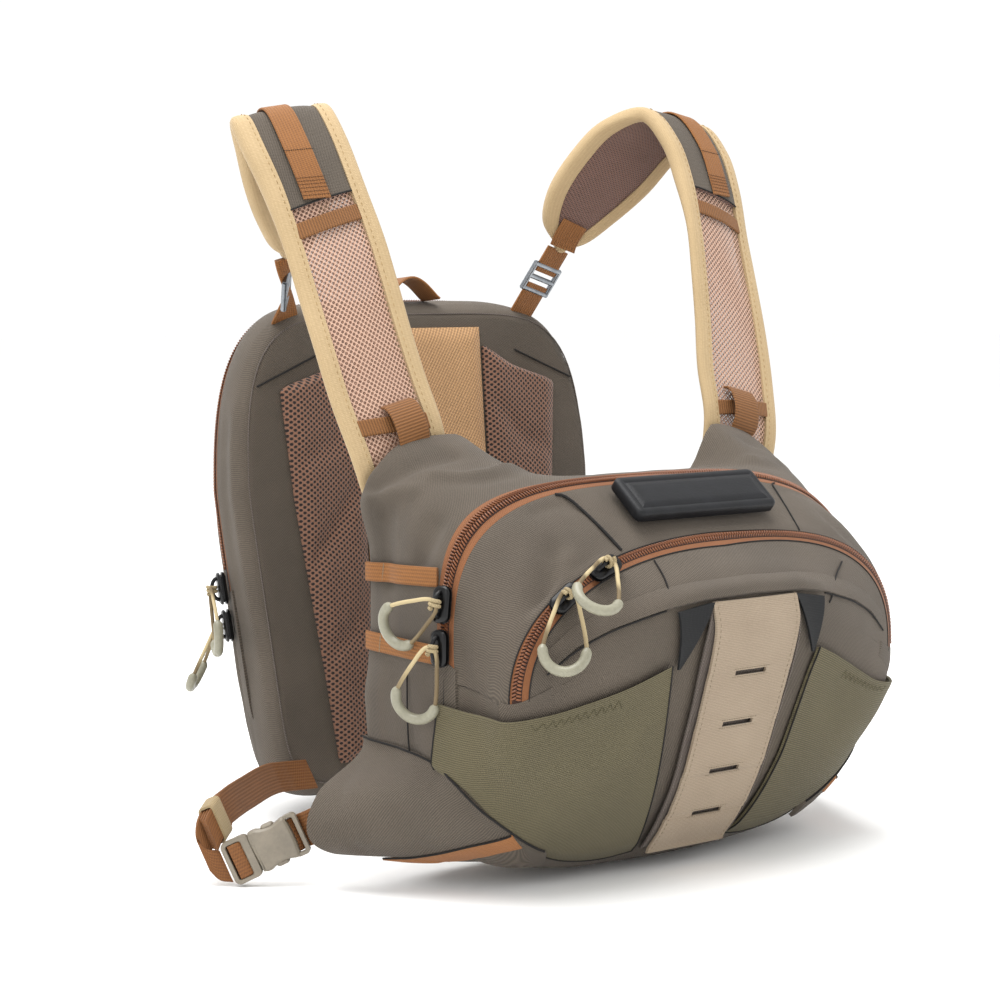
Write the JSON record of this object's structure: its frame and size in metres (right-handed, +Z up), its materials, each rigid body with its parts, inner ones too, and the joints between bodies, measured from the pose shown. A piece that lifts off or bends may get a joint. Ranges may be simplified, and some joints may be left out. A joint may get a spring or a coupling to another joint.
{
  "type": "fishing chest pack",
  "caption": "Fishing chest pack with a zipped domed front pack and a small backpack joined by padded shoulder straps and buckled side straps.",
  "frame": {"origin": "midway between the shoulder straps, level with the undersides of their crests", "axes": "+Z up, -Y the way the wearer faces, +X to the wearer's left"},
  "size_m": [0.5012, 0.3984, 0.4605],
  "materials": {
    "twill": "matte lined twill",
    "khaki": "matte heavy webbing",
    "elastic": "ribbed stretch cloth",
    "webbing": "ribbed webbing and zip tape",
    "binding": "soft rolled binding",
    "mesh": "large-hole spacer mesh",
    "column_mesh": "fine spacer mesh",
    "strap_mesh": "spacer mesh over foam",
    "navy": "matte cloth",
    "foam": "matte moulded foam",
    "slider": "gloss black",
    "steel": "bright",
    "buckle": "satin moulded nylon",
    "cord": "braided cord",
    "grip": "smooth moulded tube"
  },
  "bodies": {
    "root": {"chest_rear_shell": "twill", "chest_front_shell": "twill", "pocket_shell": "twill", "chest_zip": "webbing", "pocket_zip": "webbing", "slot_strip": "khaki", "strip_flap": "twill", "strip_gusset_left": "navy", "stretch_pocket_left": "elastic", "wing_left": "twill", "strip_gusset_right": "navy", "stretch_pocket_right": "elastic", "wing_right": "twill", "foam_patch": "foam", "slider_main_upper": "slider", "pull_grip_main_upper": "grip", "pull_cord_main_upper": "cord", "slider_main_lower": "slider", "pull_grip_main_lower": "grip", "pull_cord_main_lower": "cord", "slider_pocket_upper": "slider", "pull_grip_pocket_upper": "grip", "pull_cord_pocket_upper": "cord", "slider_pocket_lower": "slider", "pull_grip_pocket_lower": "grip", "pull_cord_pocket_lower": "cord", "pack_face_shell": "twill", "pack_rear_shell": "twill", "pack_zip": "webbing", "mesh_pad_left": "mesh", "mesh_pad_right": "mesh", "mesh_column": "column_mesh", "haul_loop": "webbing", "slider_pack_upper": "slider", "pull_grip_pack_upper": "grip", "pull_cord_pack_upper": "cord", "slider_pack_lower": "slider", "pull_grip_pack_lower": "grip", "pull_cord_pack_lower": "cord", "shoulder_pad_left": "strap_mesh", "strap_binding_left": "binding", "strap_webbing_left": "webbing", "strap_tab_left": "webbing", "pack_tab_left": "webbing", "ladder_lock_left": "steel", "side_strap_left": "webbing", "buckle_plug_left": "buckle", "buckle_socket_left": "buckle", "wing_strap_left": "webbing", "shoulder_pad_right": "strap_mesh", "strap_binding_right": "binding", "strap_webbing_right": "webbing", "strap_tab_right": "webbing", "pack_tab_right": "webbing", "ladder_lock_right": "steel", "side_strap_right": "webbing", "buckle_plug_right": "buckle", "buckle_socket_right": "buckle", "wing_strap_right": "webbing"}
  },
  "joints": []
}
